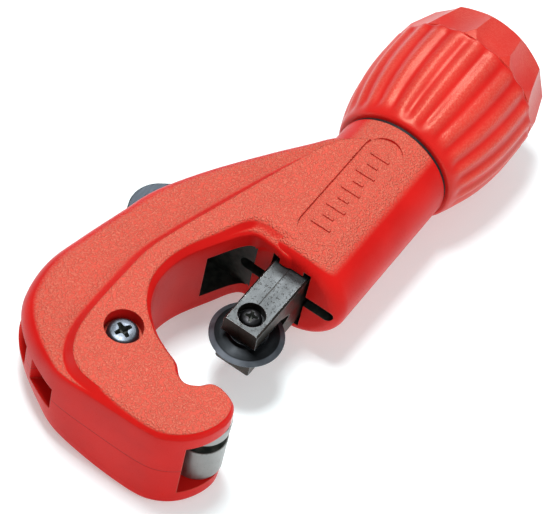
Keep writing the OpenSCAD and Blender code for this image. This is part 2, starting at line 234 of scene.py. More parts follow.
def shade(ob, angle=30.0, whole_slots=()):
    """Smooth shading that breaks at sharp edges. Inside a slot of whole_slots nothing breaks."""
    build = bmesh.new()
    build.from_mesh(ob.data)
    limit = math.radians(angle)
    for face in build.faces:
        face.smooth = True
    for edge in build.edges:
        if len(edge.link_faces) != 2:
            edge.smooth = False
            continue
        slots = {face.material_index for face in edge.link_faces}
        seamless = len(slots) == 1 and slots <= set(whole_slots)
        edge.smooth = seamless or (len(slots) == 1 and edge.calc_face_angle(0) < limit)
    build.to_mesh(ob.data)
    build.free()
    weighted = ob.modifiers.new("normals", "WEIGHTED_NORMAL")
    weighted.keep_sharp = True
    weighted.weight = 80


def exact_normals(ob):
    """Exact normals on the level faces and on the barrel, where booleans left slender triangles."""
    apply_modifiers(ob)
    mesh = ob.data
    normals = [Vector(corner.vector) for corner in mesh.corner_normals]
    up = Vector((0, 0, 1))
    steep = {(v, face.material_index) for face in mesh.polygons if abs(face.normal.z) < 0.9
             for v in face.vertices}
    for face in mesh.polygons:
        level = abs(face.normal.z) > 0.9995
        centre = TO_TOOL @ face.center
        out = Vector((0, centre.y, centre.z))
        on_barrel = (THROAT_X + 4 < centre.x < BARREL_END - 0.5 and abs(out.length - BARREL_R) < 0.03
                     and face.normal.dot(out.normalized()) > 0.998)
        for loop, v in zip(face.loop_indices, face.vertices):
            if on_barrel:
                at = TO_TOOL @ mesh.vertices[v].co
                normals[loop] = Vector((0, at.y, at.z)).normalized()
            elif level and (v, face.material_index) not in steep:
                normals[loop] = up * math.copysign(1, face.normal.z)
    mesh.normals_split_custom_set(normals)


def finish_piece(ob, body, slot, *replaced):
    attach(ob, body)
    if replaced:
        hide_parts(*replaced)
    return ob


# ---------- material building blocks ----------

class Shader:
    """A node material. Positions are in metres on the piece, and sizes are given in millimetres."""

    def __init__(self, name, **constants):
        self.material = bpy.data.materials.new(name)
        self.material.use_nodes = True
        self.tree = self.material.node_tree
        self.surface = self.tree.nodes["Principled BSDF"]
        for key, value in constants.items():
            self.surface.inputs[key.replace("_", " ")].default_value = value
        coordinates = self.tree.nodes.new("ShaderNodeTexCoord")
        self.position = coordinates.outputs["Object"]
        self.normal = coordinates.outputs["Normal"]

    def add(self, kind, inputs, **settings):
        node = self.tree.nodes.new("ShaderNode" + kind)
        for key, value in settings.items():
            setattr(node, key, value)
        for key, value in inputs.items():
            if isinstance(value, bpy.types.NodeSocket):
                self.tree.links.new(value, node.inputs[key])
            else:
                node.inputs[key].default_value = value
        return node

    def calc(self, operation, a, b=0.0, c=0.0):
        return self.add("Math", {0: a, 1: b, 2: c}, operation=operation).outputs[0]

    def band(self, value, low, high, start=0.0, end=1.0):
        """Runs smoothly from start to end as value goes from low to high."""
        return self.add("MapRange", {"Value": value, "From Min": low, "From Max": high, "To Min": start,
                                     "To Max": end}, interpolation_type="SMOOTHSTEP").outputs[0]

    def noise(self, size, detail=2.0, stretch=None, distortion=0.0):
        """Noise of a given grain size, stretched along an axis if asked."""
        where = self.position
        if stretch:
            where = self.add("Mapping", {"Vector": where, "Scale": stretch}).outputs[0]
        return self.add("TexNoise", {"Vector": where, "Scale": 1 / (size * MM), "Detail": detail,
                                     "Distortion": distortion}).outputs[0]

    def pebbles(self, size):
        """Raised, slightly wandering pebbles, as on leather or cast grain."""
        shift = self.add("TexNoise", {"Vector": self.position, "Scale": 0.7 / (size * MM), "Detail": 1.0})
        moved = self.add("VectorMath", {0: shift.outputs["Color"], 1: (0.9 * size * MM,) * 3},
                         operation="MULTIPLY").outputs[0]
        where = self.add("VectorMath", {0: self.position, 1: moved}, operation="ADD").outputs[0]
        cells = self.add("TexVoronoi", {"Vector": where, "Scale": 1 / (size * MM), "Smoothness": 0.6},
                         feature="SMOOTH_F1")
        return self.band(cells.outputs["Distance"], 0.15, 0.75, 1.0, 0.0)

    def axis(self, vector, name):
        return self.add("SeparateXYZ", {0: vector}).outputs[name]

    def flatness(self, low=0.93, high=0.985):
        """1 where the surface lies square to Z, 0 on its sides."""
        return self.band(self.calc("ABSOLUTE", self.axis(self.normal, "Z")), low, high)

    def outer_faces(self):
        """1 on the casting's level outer faces, 0 on its walls, its steep sides and in its slots; the red
        coat puts grain and painted sheen where it is 1.
        """
        height = self.calc("SUBTRACT", self.axis(self.position, "Z"), ORIGIN.z)
        upward = self.axis(self.normal, "Z")
        facing = self.calc("POWER", self.calc("ABSOLUTE", upward), 3)
        outward = self.calc("SIGN", self.calc("MULTIPLY", height, upward))
        level = self.calc("MULTIPLY", self.calc("ABSOLUTE", height), facing)
        far_out = self.band(level, 4.5 * MM, 8.5 * MM)
        return self.calc("MULTIPLY", far_out, self.calc("MAXIMUM", outward, 0.0))

    def parting_line(self):
        """Thin seam at mid height, on the upright walls of the jaw."""
        height = self.calc("ABSOLUTE", self.calc("SUBTRACT", self.axis(self.position, "Z"), ORIGIN.z))
        line = self.band(height, 0.16 * MM, 0.06 * MM)
        at_jaw = self.band(self.axis(self.position, "X"), ORIGIN.x - 18 * MM, ORIGIN.x - 24 * MM)
        return self.calc("MULTIPLY", line, at_jaw)

    def attribute(self, name):
        return self.add("Attribute", {}, attribute_name=name).outputs["Fac"]

    def tint(self, share, low, high):
        """Base colour between low and high."""
        ramp_node = self.add("ValToRGB", {"Fac": share})
        ramp_node.color_ramp.elements[0].color = (*low, 1)
        ramp_node.color_ramp.elements[1].color = (*high, 1)
        return ramp_node.outputs[0]

    def blend_colour(self, share, a, b):
        node = self.add("Mix", {"Factor": share}, data_type="RGBA")
        for name, value in (("A_Color", a), ("B_Color", b)):
            socket = next(s for s in node.inputs if s.identifier == name)
            if isinstance(value, bpy.types.NodeSocket):
                self.tree.links.new(value, socket)
            else:
                socket.default_value = (*value, 1)
        return next(s for s in node.outputs if s.identifier == "Result_Color")

    def soft_edges(self, radius):
        """Rounds the shading of sharp edges, and returns a mask of them."""
        bevel = self.add("Bevel", {"Radius": radius * MM}, samples=4)
        self.rounded_normal = bevel.outputs[0]
        geometry = self.tree.nodes.new("ShaderNodeNewGeometry")
        agree = self.add("VectorMath", {0: self.rounded_normal, 1: geometry.outputs["Normal"]},
                         operation="DOT_PRODUCT").outputs["Value"]
        return self.band(agree, 0.97, 0.82)

    def done(self, colour, roughness, height):
        """Links the colour, the roughness and the relief, whose height is in millimetres."""
        inputs = self.surface.inputs
        self.tree.links.new(colour, inputs["Base Color"])
        self.tree.links.new(roughness, inputs["Roughness"])
        bump = self.add("Bump", {"Strength": 1.0, "Distance": MM, "Height": height,
                                 "Normal": self.rounded_normal})
        self.tree.links.new(bump.outputs[0], inputs["Normal"])
        return self.material


# ---------- materials ----------

# Linear colours: the coat in its darker and lighter clouds, and a lighter red for its painted sheen on level
# faces and rib crests, and for its edges, which are partly worn and partly painted highlight
DEEP_RED = (0.54, 0.009, 0.008)
RED = (0.62, 0.012, 0.010)
SHEEN_AND_WEAR_RED = (0.74, 0.21, 0.14)


def red_coat(name, grain_and_sheen_from, grain_depth=0.13, gloss=0.06, parting=False):
    """Red coat over a cast or moulded surface, pebbled where the given mask says, and lighter there with
    painted sheen.

    grain_depth is the height of the pebbles in millimetres; parting adds the mould's seam."""
    shader = Shader(name, Specular_IOR_Level=gloss, Specular_Tint=(1.0, 0.82, 0.6, 1.0))
    grain_and_sheen = grain_and_sheen_from(shader)
    edges = shader.soft_edges(0.35)
    pebbles = shader.pebbles(0.5)
    fine = shader.noise(0.25, 3.0)
    cloudy = shader.noise(14, 3.0)
    base = shader.tint(shader.band(cloudy, 0.3, 0.7), DEEP_RED, RED)
    raised = shader.calc("MULTIPLY", pebbles, grain_and_sheen)
    # Lighter red: painted sheen where the mask says, and on the edges partly wear, partly painted highlight.
    wear_and_highlight = shader.calc("MULTIPLY", grain_and_sheen, shader.calc("MULTIPLY_ADD", pebbles, 0.36, 0.4))
    wear_and_highlight = shader.calc("MAXIMUM", wear_and_highlight, shader.calc("MULTIPLY", edges, 0.45))
    colour = shader.blend_colour(wear_and_highlight, base, SHEEN_AND_WEAR_RED)
    roughness = shader.calc("MULTIPLY_ADD", grain_and_sheen, 0.1, shader.band(fine, 0.2, 0.8, 0.26, 0.36))
    height = shader.calc("MULTIPLY_ADD", fine, 0.006, shader.calc("MULTIPLY", raised, grain_depth))
    if parting:
        line = shader.parting_line()
        colour = shader.blend_colour(shader.calc("MULTIPLY", line, 0.6), colour, (0.16, 0.004, 0.004))
        height = shader.calc("MULTIPLY_ADD", line, -0.08, height)
    return shader.done(colour, roughness, height)


def painted_shade_walls(name):
    """Near-black walls inside the casting's cuts: painted shade."""
    shader = Shader(name, Metallic=0.3, Specular_IOR_Level=0.3)
    shader.soft_edges(0.2)
    mottle = shader.noise(1.6, 4.0)
    colour = shader.tint(shader.band(mottle, 0.3, 0.75), (0.018, 0.024, 0.021), (0.060, 0.064, 0.056))
    roughness = shader.band(mottle, 0.2, 0.8, 0.35, 0.65)
    return shader.done(colour, roughness, shader.calc("MULTIPLY", shader.noise(0.3), 0.02))


def steel(name, dark, light, rough, streaks, pits=0.02, edge=(0.6, 0.62, 0.64), edge_share=0.5):
    """Bare or plated steel: streaks stretched along one axis, small pits, and light edges that are partly
    wear and partly painted highlight.
    """
    shader = Shader(name, Metallic=0.9)
    wear_and_highlight = shader.soft_edges(0.18)
    lines = shader.noise(0.5, 4.0, streaks)
    cloudy = shader.noise(3.5, 3.0)
    spots = shader.band(shader.noise(0.45, 2.0), 0.66, 0.74)
    shares = shader.calc("MULTIPLY_ADD", lines, 0.5, shader.calc("MULTIPLY", cloudy, 0.5))
    base = shader.tint(shares, dark, light)
    pitted = shader.blend_colour(shader.calc("MULTIPLY", spots, 0.6), base, (0.03, 0.028, 0.025))
    # Light edges: partly wear, partly painted highlight.
    colour = shader.blend_colour(shader.calc("MULTIPLY", wear_and_highlight, edge_share), pitted, edge)
    roughness = shader.band(lines, 0.25, 0.75, rough[0], rough[1])
    relief = shader.calc("MULTIPLY", lines, 0.008)
    height = shader.calc("SUBTRACT", relief, shader.calc("MULTIPLY", spots, pits))
    return shader.done(colour, roughness, height)


def carriage_steel():
    """Ground on top, with a scribed centre line; blackened and oiled on every other side."""
    shader = Shader("carriage_steel", Metallic=0.85)
    wear_and_highlight = shader.soft_edges(0.25)
    ground = shader.flatness(0.9, 0.97)
    lines = shader.noise(0.35, 4.0, (0.12, 1.0, 1.0))
    cloudy = shader.noise(4.0, 3.0)
    spots = shader.band(shader.noise(0.6, 3.0), 0.6, 0.68)
    side = shader.calc("SUBTRACT", shader.axis(shader.position, "Y"), ORIGIN.y + 0.4 * MM)
    scribe = shader.band(shader.calc("ABSOLUTE", side), 0.16 * MM, 0.07 * MM)
    scribe = shader.calc("MULTIPLY", scribe, shader.band(lines, 0.35, 0.5))
    bare = shader.tint(shader.calc("MULTIPLY_ADD", lines, 0.45, shader.calc("MULTIPLY", cloudy, 0.5)),
                       (0.016, 0.018, 0.020), (0.068, 0.075, 0.077))
    black = shader.tint(cloudy, (0.012, 0.010, 0.009), (0.070, 0.056, 0.045))
    flat = shader.blend_colour(ground, black, bare)
    marks = shader.calc("MAXIMUM", shader.calc("MULTIPLY", spots, 0.7), scribe)
    marked = shader.blend_colour(shader.calc("MULTIPLY", marks, 0.8), flat, (0.02, 0.018, 0.016))
    # Light edges: partly wear, partly painted highlight.
    colour = shader.blend_colour(shader.calc("MULTIPLY", wear_and_highlight, 0.7), marked, (0.62, 0.64, 0.66))
    roughness = shader.band(cloudy, 0.25, 0.75, 0.30, 0.46)
    relief = shader.calc("MULTIPLY", lines, 0.01)
    height = shader.calc("SUBTRACT", relief, shader.calc("MULTIPLY", marks, 0.04))
    return shader.done(colour, roughness, height)


def wheel_steel():
    """Hardened blue-grey steel, brighter on the ground bevel at the rim."""
    shader = Shader("wheel_steel", Metallic=0.85)
    wear_and_highlight = shader.soft_edges(0.15)
    from_axle = shader.add("VectorMath", {0: shader.position, 1: tuple(ORIGIN)},
                           operation="SUBTRACT").outputs[0]
    flat = shader.add("VectorMath", {0: from_axle, 1: (1, 1, 0)}, operation="MULTIPLY").outputs[0]
    radius = shader.add("VectorMath", {0: flat}, operation="LENGTH").outputs["Value"]
    bevel = shader.band(radius, (WHEEL_R - 1.5) * MM, (WHEEL_R - 1.2) * MM)
    rings = shader.add("TexWave", {"Vector": flat, "Scale": 900.0, "Distortion": 1.5, "Detail": 2.0},
                       wave_type="RINGS", rings_direction="Z").outputs["Fac"]
    cloudy = shader.noise(2.5, 4.0)
    face = shader.tint(cloudy, (0.003, 0.004, 0.005), (0.007, 0.009, 0.011))
    ground = shader.tint(cloudy, (0.055, 0.065, 0.078), (0.115, 0.13, 0.15))
    # Light edges: partly wear, partly painted highlight.
    colour = shader.blend_colour(shader.calc("MULTIPLY", wear_and_highlight, 0.5),
                                 shader.blend_colour(bevel, face, ground), (0.5, 0.53, 0.58))
    roughness = shader.calc("MULTIPLY_ADD", rings, 0.08, shader.band(cloudy, 0.2, 0.8, 0.28, 0.42))
    return shader.done(colour, roughness, shader.calc("MULTIPLY", rings, 0.004))


def black_plastic():
    """Matt black moulding."""
    shader = Shader("black_plastic", Specular_IOR_Level=0.35)
    shader.soft_edges(0.1)
    fine = shader.noise(0.4, 3.0)
    colour = shader.tint(fine, (0.006, 0.006, 0.007), (0.022, 0.022, 0.024))
    return shader.done(colour, shader.band(fine, 0.2, 0.8, 0.4, 0.6), shader.calc("MULTIPLY", fine, 0.01))


# ---------- casting ----------

# Control rows of the casting: crease of the flat top, outer edge, shelf share. The share is 1
# where a cove and a low shelf run outside the crease, 0 where the top rounds over into the wall.
FRAME_ROWS = [
    # back of the spine, from the barrel to the heel
    [60, 3, 63, 9, 1], [55.5, 9.4, 59, 14.6, 1], [50, 12.8, 52.2, 19.3, 1],
    [41, 15.7, 42.8, 26.1, 1], [28, 19.5, 28.8, 35.1, 1], [16, 23, 16, 41.5, 1],
    [5, 26.2, 6, 44, 1], [-5, 28.5, -7, 47, 1], [-15, 28.8, -18, 49, 1],
    [-25, 28.8, -27.5, 47.8, 1], [-31, 28.5, -34, 44.6, 1],
    # heel, side and tip of the jaw
    [-36.4, 27.3, -39.4, 39, 1], [-41, 24.6, -43.6, 31.8, 0.9],
    [-43.7, 19.8, -46.1, 24.6, 0.6], [-44.3, 11, -46.7, 12, 0.15], [-44.2, 0, -46.6, 0, 0],
    [-43.2, -5.2, -45.3, -5.6, 0], [-40.8, -9.2, -42, -10.1, 0],
    [-36.6, -12, -37.2, -13.2, 0], [-32, -12.9, -32, -14.4, 0],
    # mouth of the jaw: a hump over each roller and a notch between them
    [-28.5, -11.9, -27.6, -13, 0], [-27, -9, -25.7, -9, 0], [-27.2, -6, -25.8, -5.4, 0],
    [-29.4, -4, -28.4, -2.9, 0], [-31, -0.6, -29.7, -0.5, 0], [-30.1, 2.8, -28.9, 2, 0],
    [-27.8, 5.4, -26.4, 4.7, 0], [-26.2, 9.4, -24.8, 8.6, 0], [-23.6, 14.4, -22.3, 13.4, 0],
    # inner side of the spine, the corner and the throat face
    [-18.6, 19.8, -17.6, 18.4, 0.1], [-12, 23.4, -11.6, 21.4, 0.15], [-5, 24.2, -5, 21.9, 0.15],
    [2.4, 22.8, 1.7, 20.4, 0.15], [11.6, 18.7, 10.4, 16.2, 0.2], [18, 15.6, 15.4, 13.4, 0.3],
    [21.3, 12.4, THROAT_X + 0.1, 11, 0.3], [21.5, 7, THROAT_X, 6.5, 0.3], [21.5, 1, THROAT_X, 0, 0.3],
    # inside the barrel
    [24, -0.3, 26, -6, 0], [57, -0.3, 60, -6, 0]]
# Section outside the crease: share of the way out, share of the height
SHELF_SECTION = [[0, 1], [0.07, 0.89], [0.16, 0.79], [0.3, 0.725], [0.6, 0.685],
                 [0.84, 0.59], [0.96, 0.42], [1, 0.2]]
EDGE_SECTION = [[0, 1], [0.3, 0.99], [0.55, 0.965], [0.75, 0.935], [0.9, 0.9],
                [1, 0.85], [1, 0.5], [1, 0.2]]
PLAN_STEPS = 8
SECTION_STEPS = 3
TOP_BORDER = 0.45  # width of the band inside the crease that carries the rounding of the flat top


def inset(curve, distance):
    """The closed plan curve moved inwards; its points run counterclockwise."""
    moved = []
    for i, (x, y) in enumerate(curve):
        before, after = curve[i - 1], curve[(i + 1) % len(curve)]
        along = Vector((after[0] - before[0], after[1] - before[1])).normalized()
        moved.append((x - along.y * distance, y + along.x * distance))
    return moved


def casting_body():
    """C-shaped body: the flat top, the crease, the cove and shelf or rounded edge, and the wall."""
    rows = closed_curve(FRAME_ROWS, PLAN_STEPS, straight=3)
    shelf = open_curve(SHELF_SECTION, SECTION_STEPS)
    edge = open_curve(EDGE_SECTION, SECTION_STEPS)
    size = len(rows)
    border = [(x, y, BARREL_R) for x, y in inset([(row[0], row[1]) for row in rows], TOP_BORDER)]
    rings = [border]
    for (shelf_out, shelf_up), (edge_out, edge_up) in zip(shelf, edge):
        ring = []
        for cx, cy, ex, ey, share in rows:
            share = min(max(share, 0), 1)
            out = mix(edge_out, shelf_out, share)
            x = max(mix(cx, ex, out), FRAME_LOW.x)
            y = min(mix(cy, ey, out), FRAME_HIGH.y)
            ring.append((x, y, BARREL_R * mix(edge_up, shelf_up, share)))
        rings.append(ring)
    rings += [[(x, y, -z) for x, y, z in ring] for ring in reversed(rings)]
    faces = ring_faces(len(rings), size)
    last = (len(rings) - 1) * size
    for i in range(size // 2 - 1):
        strip = (i, i + 1, size - 2 - i, size - 1 - i)
        faces += [strip, tuple(last + k for k in reversed(strip))]
    return mesh_object("casting", [p for ring in rings for p in ring], faces)


BARREL_FACETS = 192


def barrel():
    """Barrel with a rounded front edge, and the neck inside the knob."""
    front_round, back_round = 4, 0.4
    neck_r = extent("knob_slide_ring")[1].z - 2.2
    neck_chamfer = 0.5
    front = arc((BARREL_R - front_round, THROAT_X + front_round), front_round, -90, 0, 10)
    tail = [(BARREL_R, BARREL_END - back_round), (BARREL_R - 0.12, BARREL_END - 0.12),
            (BARREL_R - back_round, BARREL_END), (neck_r, BARREL_END),
            (neck_r, NECK_END - neck_chamfer), (neck_r - neck_chamfer, NECK_END), (0, NECK_END)]
    # turned by half a facet, so that no edge of it lies in the plane of the flat top
    half_facet = Matrix.Rotation(math.pi / BARREL_FACETS, 4, "Z")
    return lathe("barrel", [(0, THROAT_X)] + front + tail, BARREL_FACETS, along_feed() @ half_facet)


def box_cutter(name, low, high):
    """Upright box between two corners."""
    outline = [(low[0], low[1]), (high[0], low[1]), (high[0], high[1]), (low[0], high[1])]
    return prism(name, outline, low[2], high[2])


def stadium(start, end, radius, steps=24):
    """Outline of a slot with round ends, along X."""
    return arc(end, radius, -90, 90, steps) + arc(start, radius, 90, 270, steps)


def channel_cutters():
    """Channel for the carriage, with relief grooves in its four corners."""
    w, h = CARRIAGE_HIGH.y + 0.6, CARRIAGE_HIGH.z + 0.4
    front = THROAT_X - 2
    relief_half, relief_depth = 1.1, 1.8
    cutters = [box_cutter("channel", (front, -w, -h), (CHANNEL_END, w, h))]
    for side in (-1, 1):
        y = side * (w - relief_half)
        cutters.append(box_cutter("relief", (front, y - relief_half, -h - relief_depth),
                                  (CHANNEL_END, y + relief_half, h + relief_depth)))
    return cutters


def wheel_slot_cutter():
    """Slot across the throat face for the rim of the wheel."""
    half_length, half_height = 14, 2
    front, back = THROAT_X - 2, 29.5
    outline = stadium((half_height - half_length, 0), (half_length - half_height, 0), half_height)
    points = [(x, y, z) for x in (front, back) for y, z in outline]
    return mesh_object("wheel_slot", points, closed_faces(2, len(outline)))


def blade_slot_cutter():
    """Slot along the spine for the folded blade, with a web across it left standing at the heel."""
    half, hub_r = 4.3, 4.8
    outline = [(-22.8, 17.6), (-15, 24.2), (34.5, 28.2), (36, 40), (20, 60),
               (-60, 60), (-60, 28), (-44, 26), (-31.7, 19)]
    slot = prism("blade_slot", outline, -half, half)
    turn = Matrix.Rotation(math.radians(-52), 2)
    corners = [turn @ Vector(p) for p in ((-54.9, -11.4), (-48.9, -11.4), (-48.9, -8), (-54.9, -8))]
    web = prism("web", [tuple(p) for p in corners], -half - 1, half + 1)
    cut(slot, [web])
    return [slot, prism("blade_hub_room", arc((PIVOT.x, PIVOT.y), hub_r, 0, 354, 59), -half, half)]


def roller_pocket_cutter():
    """Pocket that holds both rollers, open to the mouth and to the tip of the jaw."""
    corner, left, right, near = 3, -42.1, -9.1, -25
    far = ROLLER_Y + ROLLER_R + 0.6
    half = ROLLER_H + 0.3
    outline = [(left, near), (right, near), (right, far)]
    outline += arc((left + corner, far - corner), corner, 90, 180, 10)
    return prism("roller_pocket", outline, -half, half)


PANEL_START, PANEL_END, PANEL_HALF = 27.8, 57, 5.4
PANEL_DEPTH = 0.8
BAR_COUNT = 9


def panel_cutter():
    """Sunk panel on top of the barrel; a generic scale of raised bars stands on its floor."""
    floor = BARREL_R - PANEL_DEPTH
    panel = prism("panel", stadium((PANEL_START, 0), (PANEL_END, 0), PANEL_HALF, 32), floor, BARREL_R + 3)
    bars = []
    for i in range(BAR_COUNT):
        x = mix(PANEL_START + 1, PANEL_END - 1, i / (BAR_COUNT - 1))
        half = 3 if i % 2 == 0 else 1.6
        outline = [(x - 0.4, -half), (x + 0.4, -half), (x + 0.4, half), (x - 0.4, half)]
        bars.append(prism("bar", outline, floor - 1, floor + 0.45, 0.9, (x, 0)))
    cut(panel, bars)
    return panel


def drill(name, x, y, radius, low, high, segments=64):
    """Upright round cutter, or a polygon if it has few segments."""
    outline = arc((x, y), radius, 0, 360 - 360 / segments, segments - 1)
    return prism(name, outline, low, high)


def feed_drill(radius, start, end):
    """Round cutter along the feed axis."""
    return lathe("feed_drill", [(0, start), (radius, start), (radius, end), (0, end)], 64, along_feed())


def pivot_cutters():
    """Stepped hole for the deburrer's screw, with a hexagon pocket for its nut below."""
    below, above = -BARREL_R - 1, BARREL_R + 3
    seat, nut_depth = 11.7, 3.6
    return [drill("screw_sink", PIVOT.x, PIVOT.y, 4.9, seat, above, 96),
            drill("screw_hole", PIVOT.x, PIVOT.y, 2.1, below, seat + 0.5),
            drill("nut_pocket", PIVOT.x, PIVOT.y, 4.2, below, nut_depth - BARREL_R, 6)]


def make_casting(red, bore):
    """Frame of the tool; slot 0 is its outside, and the cut walls have slots of their own."""
    casting = casting_body()
    casting.data.materials.append(red)
    tube = barrel()
    tube.data.materials.append(red)
    cut(casting, [tube], "UNION", tolerant=True)
    red_cuts = blade_slot_cutter() + [roller_pocket_cutter(), panel_cutter()] + pivot_cutters()
    red_cuts += [drill("pin_hole", ROLLER_X, y * ROLLER_Y, 2.05, -BARREL_R - 1, 12.5) for y in (-1, 1)]
    window = box_cutter("window", (6.8, 10, -8.4), (THROAT_X + 0.2, 28, 8.4))
    spindle_bore = feed_drill(SPINDLE_BORE_R, CHANNEL_END - 1, NECK_END + 1)
    # The channel, its reliefs, the wheel slot, the window and the spindle bore get near-black walls: painted
    # shade.
    dark_cuts = channel_cutters() + [wheel_slot_cutter(), window, spindle_bore]
    red_wall = red.copy()
    red_wall.name = "red_wall"
    for cutters, material in ((red_cuts, red_wall), (dark_cuts, bore)):
        for cutter in cutters:
            coat(cutter, material)
        cut(casting, cutters)
    shade(casting, 30, whole_slots=(0,))
    exact_normals(casting)
    return finish_piece(casting, "frame", "red_casting", "frame")


# ---------- knob ----------

SWELL_LEN = 46.4  # length that the knob's swell is spread over
FLUTE_DEPTH = 0.7
RIB_PHASE = 92.8  # angle of one crest about the feed axis
SCALLOP_PHASE = RIB_PHASE + 90 / LOBES  # each scallop is centred on a flute


def knob_radius(x):
    """Ridge radius along the knob: a quick swell at the skirt, a slow fall to the end."""
    s = (x - KNOB_X) / SWELL_LEN
    swell = 1 - max(0, 1 - s / 0.55) ** 2.2 * 0.225
    fall = 1 - max(0, (s - 0.55) / 0.45) ** 2 * 0.03
    return KNOB_R * swell * fall


def ribs(angle):
    """Height of the ribs, 0 to 1: even waves, two to each scallop of the cap."""
    return (1 + math.cos(math.radians(2 * LOBES * (angle - RIB_PHASE)))) / 2


def flute_share(x):
    """The flutes run out a little way short of the skirt and of the cap."""
    return ramp((x - KNOB_X - 0.8) / 4) * (1 - 0.75 * ramp((x - SEAM_X + 2.5) / 2.5))


def round_feed(x, radius, angle):
    """Point at that radius and angle about the feed axis."""
    return x, radius * math.cos(math.radians(angle)), radius * math.sin(math.radians(angle))


def make_knob(red):
    """Ribbed grip, hollow inside its skirt, with a nick at the seam in each flute."""
    lines = LOBES * 40
    edge = 0.7  # rounding of the skirt's mouth
    bore_r, bore_end = 14, 80.2
    stations = [KNOB_X + edge * (1 - math.cos(math.radians(a))) for a in (0, 30, 60, 90)]
    stations += [mix(KNOB_X + edge, SEAM_X - 0.6, (i + 1) / 44) for i in range(44)]
    stations += [SEAM_X - 0.4, SEAM_X - 0.2, SEAM_X]
    angles = [i * 360 / lines for i in range(lines)]
    crest = {a: ribs(a) for a in angles}
    points, crests = [], []
    for x, r in ((bore_end, SPINDLE_BORE_R), (bore_end, bore_r), (KNOB_X, bore_r)):
        points += [round_feed(x, r, a) for a in angles]
        crests += [0.0] * lines
    for x in stations:
        lip = edge * (1 - math.sqrt(max(0, 1 - (1 - min((x - KNOB_X) / edge, 1)) ** 2)))
        nick = 0.35 * ramp((x - SEAM_X + 0.5) / 0.4)
        for a in angles:
            r = knob_radius(x) - lip - (FLUTE_DEPTH * flute_share(x) + nick) * (1 - crest[a])
            points.append(round_feed(x, r, a))
            crests.append(crest[a] * flute_share(x))
    for x, r in ((SEAM_X, HEAD_ROOM_R), (HEAD_FLOOR, HEAD_ROOM_R), (HEAD_FLOOR, SPINDLE_BORE_R)):
        points += [round_feed(x, r, a) for a in angles]
        crests += [0.0] * lines
    count = len(points) // lines
    faces = ring_faces(count, lines)
    faces += [((count - 1) * lines + i, (count - 1) * lines + (i + 1) % lines, (i + 1) % lines, i)
              for i in range(lines)]
    knob = mesh_object("knob_grip", points, faces)
    # crest holds the rib height; the knob's coat paints highlight on the crests from it.
    attribute = knob.data.attributes.new("crest", "FLOAT", "POINT")
    attribute.data.foreach_set("value", crests)
    knob.data.materials.append(red)
    shade(knob, 50)
    return finish_piece(knob, "knob", "red_moulding", "knob")


def make_cap(red):
    """End cap: rounded shoulder and domed end, cut by a ring of shallow scallops."""
    r0 = knob_radius(SEAM_X) - 0.2
    length = KNOB_END - SEAM_X
    profile = [[0.01, 1], [0.26, 0.99], [0.5, 0.955], [0.7, 0.895], [0.82, 0.825],
               [0.9, 0.735], [0.955, 0.6], [0.99, 0.38], [1, 0]]
    dome = [(r * r0, SEAM_X + x * length) for x, r in open_curve(profile, 4)]
    foot = [(0, SEAM_X + 0.05), (r0 - 0.25, SEAM_X + 0.05), (r0, SEAM_X + 0.25)]
    cap = lathe("knob_end_cap", foot + dome[1:], 216, along_feed())
    cap.data.materials.append(red)
    head_room = feed_drill(HEAD_ROOM_R, SEAM_X - 1, SEAM_X + 3)
    head_room.data.materials.append(red)
    cut(cap, [head_room])
    scoop_r, tilt, step = 25, math.radians(17), 0.6
    for i in range(LOBES):
        turn = math.radians(SCALLOP_PHASE - 90 + i * 360 / LOBES)
        place = (Matrix.Rotation(turn, 4, "X")
                 @ Matrix.Translation((SEAM_X + 0.2, 0, r0 - step + scoop_r / math.cos(tilt)))
                 @ Matrix.Rotation(math.pi / 2 + tilt, 4, "Y"))
        scoop = lathe("scoop", [(0, -30), (scoop_r, -30), (scoop_r, 40), (0, 40)], 160, place)
        scoop.data.materials.append(red)
        cut(cap, [scoop])
    shade(cap, 14)
    return finish_piece(cap, "knob", "red_moulding", "knob_cap")


# ---------- screws ----------

def cross_cutter(x, y, top, half, width, depth, turn):
    """Cross recess: four arms with soft inner corners, drawn in towards the bottom."""
    foot_scale = 0.45
    arm = [(half, -width * 0.8), (half + 0.12, 0), (half, width * 0.8), (width * 1.9, width),
           (width * 1.25, width * 1.25), (width, width * 1.9)]
    outline = []
    for i in range(4):
        angle = math.radians(turn + 90 * i)
        outline += [(x + foot_scale * (px * math.cos(angle) - py * math.sin(angle)),
                     y + foot_scale * (px * math.sin(angle) + py * math.cos(angle))) for px, py in arm]
    return prism("cross", outline, top - depth, top + 0.3, 1 / foot_scale, (x, y))


def make_screw(name, head, shank, centre, cross, metal, recess, body, slot, node):
    """Cross-recessed screw; head and shank are (radius, height) points from the bottom up.

    cross holds the recess's top, half length, half width, depth and turn in degrees."""
    screw = lathe(name, shank + head, 96, on_axle(*centre))
    screw.data.materials.append(metal)
    cutter = cross_cutter(centre[0], centre[1], *cross)
    # The cross recess gets near-black walls: painted shade.
    cutter.data.materials.append(recess)
    cut(screw, [cutter])
    shade(screw, 28)
    return finish_piece(screw, body, slot, node)


